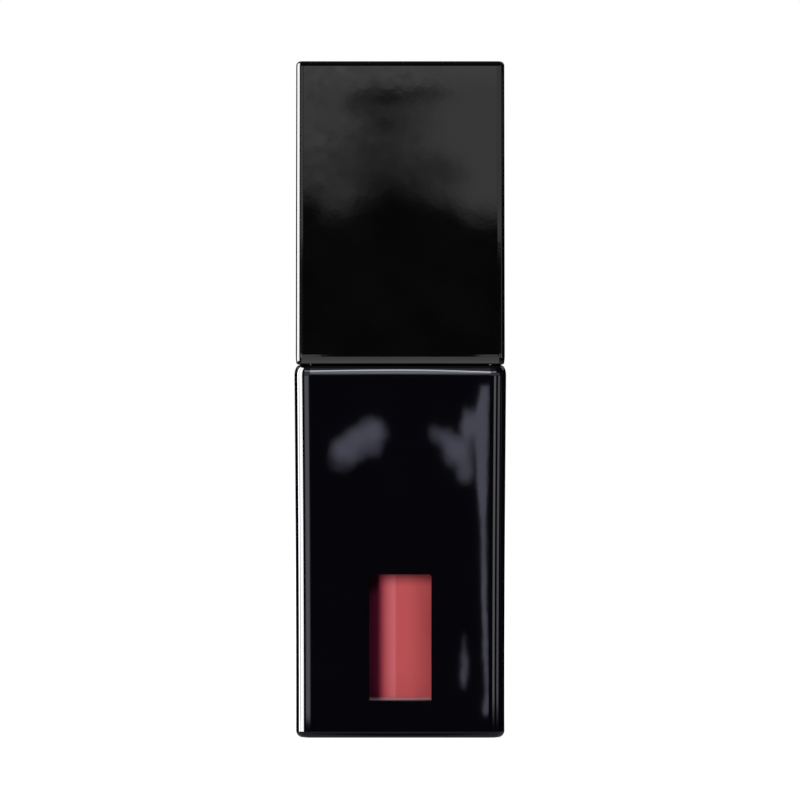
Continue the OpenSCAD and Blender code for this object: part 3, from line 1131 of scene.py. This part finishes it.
def bump_at(x, z, centre_x, centre_z, half_x, half_z, turn, soft=0.8):
    """Soft oval patch: 1 inside, falling to 0 at its rim over its outer share, soft."""
    t = math.radians(turn)
    dx = x - centre_x
    dz = z - centre_z
    along = (dx * math.cos(t) + dz * math.sin(t)) / half_x
    across = (dz * math.cos(t) - dx * math.sin(t)) / half_z
    return smooth_step((1 - math.hypot(along, across)) / soft)


def on_curve(value, points):
    """Value of a curve through (position, value) points, smoothed between them."""
    for (a, low), (b, high) in zip(points, points[1:]):
        if value <= b:
            return low + (high - low) * smooth_step((value - a) / (b - a))
    return points[-1][1]


def ripple(x, z, size, seed):
    """Smooth unevenness between -1 and 1 with features of a size in millimetres."""
    return noise.noise(Vector((x / size, z / size, seed)))


# Patches of light on the bottle's face: centre x and z, half width and half height, turn, and strength
FACE_PATCHES = [
    (-2.9, 31.9, 2.0, 2.0, 35, 1.0), (-4.5, 31.1, 2.3, 1.7, 38, 1.0), (-5.8, 30.0, 1.9, 1.8, 40, 1.0),
    (-6.0, 28.7, 1.9, 1.5, 10, 0.3), (-2.8, 30.3, 1.4, 1.4, -20, 0.45), (-4.3, 29.7, 1.9, 1.2, 30, 0.5),
    (3.7, 31.5, 1.5, 1.1, -45, 0.5), (5.2, 30.7, 2.2, 1.4, -45, 0.8), (6.1, 29.7, 2.3, 2.1, -45, 1.0),
    (6.8, 27.7, 1.3, 1.9, 0, 0.75), (6.9, 32.2, 0.8, 2.8, 0, 1.0), (7.6, 32.4, 0.9, 2.5, 0, 1.0),
    (6.55, 7.6, 0.62, 2.3, 0, 0.8), (6.4, 6.2, 0.55, 1.4, 0, 0.8), (6.45, 9.4, 0.3, 1.8, 0, 0.4),
]
# Strip of light down the bottle's face: x of its left and of its right edge at a few heights, the heights
# of its two ends, and the softness of its edges and of its ends
STRIP_LEFT = [(2, 8.7), (3, 8.57), (5, 8.83), (9, 8.58), (16, 8.34), (22, 8.3), (27, 8.0), (33, 7.85),
              (37, 8.48)]
STRIP_RIGHT = [(2, 8.75), (3, 9.25), (5, 9.2), (9, 9.1), (16, 8.84), (22, 8.78), (27, 9.05), (33, 9.25),
               (37, 9.33)]
STRIP_FOOT = 2.3
STRIP_HEAD = 36.7
STRIP_EDGE = 0.1
STRIP_END = 0.2

# Height of the lower edge of the light on the cap's face, across it
CAP_EDGE = [(-12, 57.3), (-9, 56.4), (-6.2, 54.2), (-4, 55.8), (-1.5, 57.5), (1.5, 57.3), (4.5, 55.8),
            (8, 54.4), (12, 54.4)]

# Turn in degrees, either side of straight ahead, of the panel that lights the bottle's shoulder; the share
# of it that is straight ahead, and the share on each side of that over which its light dips
SHOULDER_SPREAD = (-50, 50)
SHOULDER_MIDDLE = 0.5
SHOULDER_BEND = 1.9 / 100


def face_glow(x, z):
    """Strength of the light that shows in the bottle's face at a place on it."""
    dark = 1.0
    shake_x = x + 0.2 * ripple(x, z, 1.1, 4.0)
    shake_z = z + 0.25 * ripple(x, z, 1.1, 8.0)
    for *oval, strength in FACE_PATCHES:
        dark *= 1 - strength * bump_at(shake_x, shake_z, *oval)
    left = smooth_step((x - on_curve(z, STRIP_LEFT)) / STRIP_EDGE + 0.5)
    right = smooth_step((on_curve(z, STRIP_RIGHT) - x) / STRIP_EDGE + 0.5)
    ends = smooth_step((z - STRIP_FOOT) / STRIP_END) * smooth_step((STRIP_HEAD - z) / STRIP_END)
    dark *= 1 - left * right * ends
    return 1 - dark


def cap_glow(x, z):
    """Strength of the light that shows in the cap's face at a place on it."""
    rough = smooth_step((7.0 - x) / 6)
    edge = on_curve(x, CAP_EDGE) + 1.3 * ripple(x, z, 1.8, 2.0) * rough
    level = smooth_step((z - edge + 2.0) / 4.2)
    level *= 0.86 + 0.2 * smooth_step((z - 66.5) / 4)
    core = math.exp(-((x + 1.6) / 4.2) ** 2) * smooth_step((68 - z) / 1.5)
    level *= 1 - (0.55 + 0.25 * ripple(x, z, 2.4, 6.0)) * core
    level *= 1 - 0.3 * smooth_step((z - 63) / -4) * rough
    level *= 1 - 0.5 * bump_at(x, z, 4.6, 58.8, 4.2, 3.0, -25, 1.0)
    level *= 1 - 0.7 * bump_at(x, z, -1.9, 66.5, 4.8, 1.9, 3, 0.9)
    level *= 1 - 0.5 * bump_at(x, z, 2.4, 66.9, 4.8, 1.3, 3, 0.9)
    grain = ripple(x, 1.7 * z, 1.1, 9.0) + 0.8 * ripple(x, 1.7 * z, 0.5, 5.0)
    level *= 1 + 0.5 * grain * rough
    return max(0, level)


def side_glow(x, z):
    """Strength of the quieter light that shows in the other three sides at a place on them."""
    drift = 1.5 * ripple(x, z, 6, 11.0)
    if z > BOTTLE_H:
        return smooth_step((z - 56 - 0.5 * x + drift) / 9) * (0.8 + 0.2 * ripple(x, z, 5, 3.0))
    strip = smooth_step((x - 4.6) / 0.5) * smooth_step((8.4 - x) / 0.5) * smooth_step((z - 4 + drift) / 16)
    haze = 0.45 * smooth_step((z - 20 - 0.8 * x + drift) / 16)
    return max(strip * 0.9, haze) * smooth_step((BOTTLE_H - 5 - z) / 4)


def add_face_cards():
    """Cards on four walls, a little farther out than the camera, that show in the flat faces. Each is laid
    out by what shows at each place of its face."""
    wall_y = -620
    depth = -BOTTLE_W / 2 - wall_y

    def show_in_face(name, turn, low_z, high_z, half_w, lean, glow, color):
        def spot(u, v):
            return (2 * u - 1) * half_w, low_z + (high_z - low_z) * v

        def place(u, v):
            x, z = spot(u, v)
            reach = depth / (-BOTTLE_W / 2 - CAMERA.y)
            drop = 2 * lean(z) * depth
            spot_on_wall = Vector((x * (1 + reach), wall_y, z + (z - CAMERA.z) * reach - drop))
            return Matrix.Rotation(math.radians(turn), 3, "Z") @ spot_on_wall

        return add_card(name, 180, 260, place, lambda u, v: glow(*spot(u, v)), color)

    def bottle_lean(z):
        return BOTTLE_FLARE * z / BOTTLE_H ** 2

    bottle_card = show_in_face("bottle_card", 0, 1.5, 37.4, 10.2, bottle_lean, face_glow, (1.42, 1.45, 1.95))
    only_on(bottle_card, *bottle)
    show_in_face("cap_card", 0, 50, 72, 12.5, lambda z: -CAP_TAPER / 2 / CAP_H, cap_glow, (1.05, 1.05, 1.08))
    for name, turn in (("right_card", 90), ("back_card", 180), ("left_card", -90)):
        show_in_face(name, turn, 1.5, 70, 10.4, lambda z: 0, side_glow, (0.9, 0.91, 1.0))


def add_linked_panels():
    """The panel over the camera that runs along the bottle's shoulder, and the dark one under its base."""
    def shoulder_glow(u, v):
        aside = (u - SHOULDER_MIDDLE) / SHOULDER_BEND
        peak = 0.49 - (0.15 if aside < 0 else 0.29) * min(abs(aside), 1) ** 2
        core = math.exp(-((v - peak) / 0.075) ** 2)
        tail = 0.19 * smooth_step(v / 0.06) * smooth_step((peak - v) / 0.1 + 0.3)
        veil = 0.03 * smooth_step((1 - v) / 0.3)
        ends = 1 - 0.7 * smooth_step((abs(aside) - 1.5) / 2)
        return max(core, tail, veil) * ends * smooth_step(10 * min(u, 1 - u))

    def panel(name, azimuths, elevations, height, color, glow):
        def place(u, v):
            azimuth = azimuths[0] + (azimuths[1] - azimuths[0]) * u
            elevation = elevations[0] + (elevations[1] - elevations[0]) * v
            return direction(azimuth, elevation) * STUDIO_R + Vector((0, 0, height))

        only_on(add_card(name, 240, 60, place, glow, color), *bottle)

    panel("shoulder_panel", SHOULDER_SPREAD, (8, 56), 38, (15.5, 16.3, 18.3), shoulder_glow)
    panel("rim_flag", (-2.6, 2.6), (-80, -37), 39, (0, 0, 0), lambda u, v: 0)


def make_floor():
    """Pale floor that gloss doesn't see, with light of its own so that it meets the white backdrop. It lies
    a hair under the base, so that the two never share a plane."""
    half = 1500

    def place(u, v):
        return Vector(((2 * u - 1) * half, (2 * v - 1) * half, -0.02))

    sheet, _ = add_sheet("floor", 12, 12, place)
    sockets = {"Specular IOR Level": 0.0, "Roughness": 0.9, "Emission Color": (1, 1, 1, 1)}
    material, tree, shader = surface("floor_paper", sockets)
    mottle(tree, shader, speckle(tree, 30, detail=3), (0.29, 0.29, 0.29), (0.31, 0.31, 0.31))
    away = axis_distance(tree, own_axes(tree))
    link(tree, ease(tree, away, 0.88, 1.0, 20, 200), shader, "Emission Strength")
    sheet.data.materials.append(material)
    unseen(sheet, camera=True, diffuse=True, transmission=True, shadow=True)
    return sheet


make_world()
floor = make_floor()
add_lamps()
add_face_cards()
add_linked_panels()
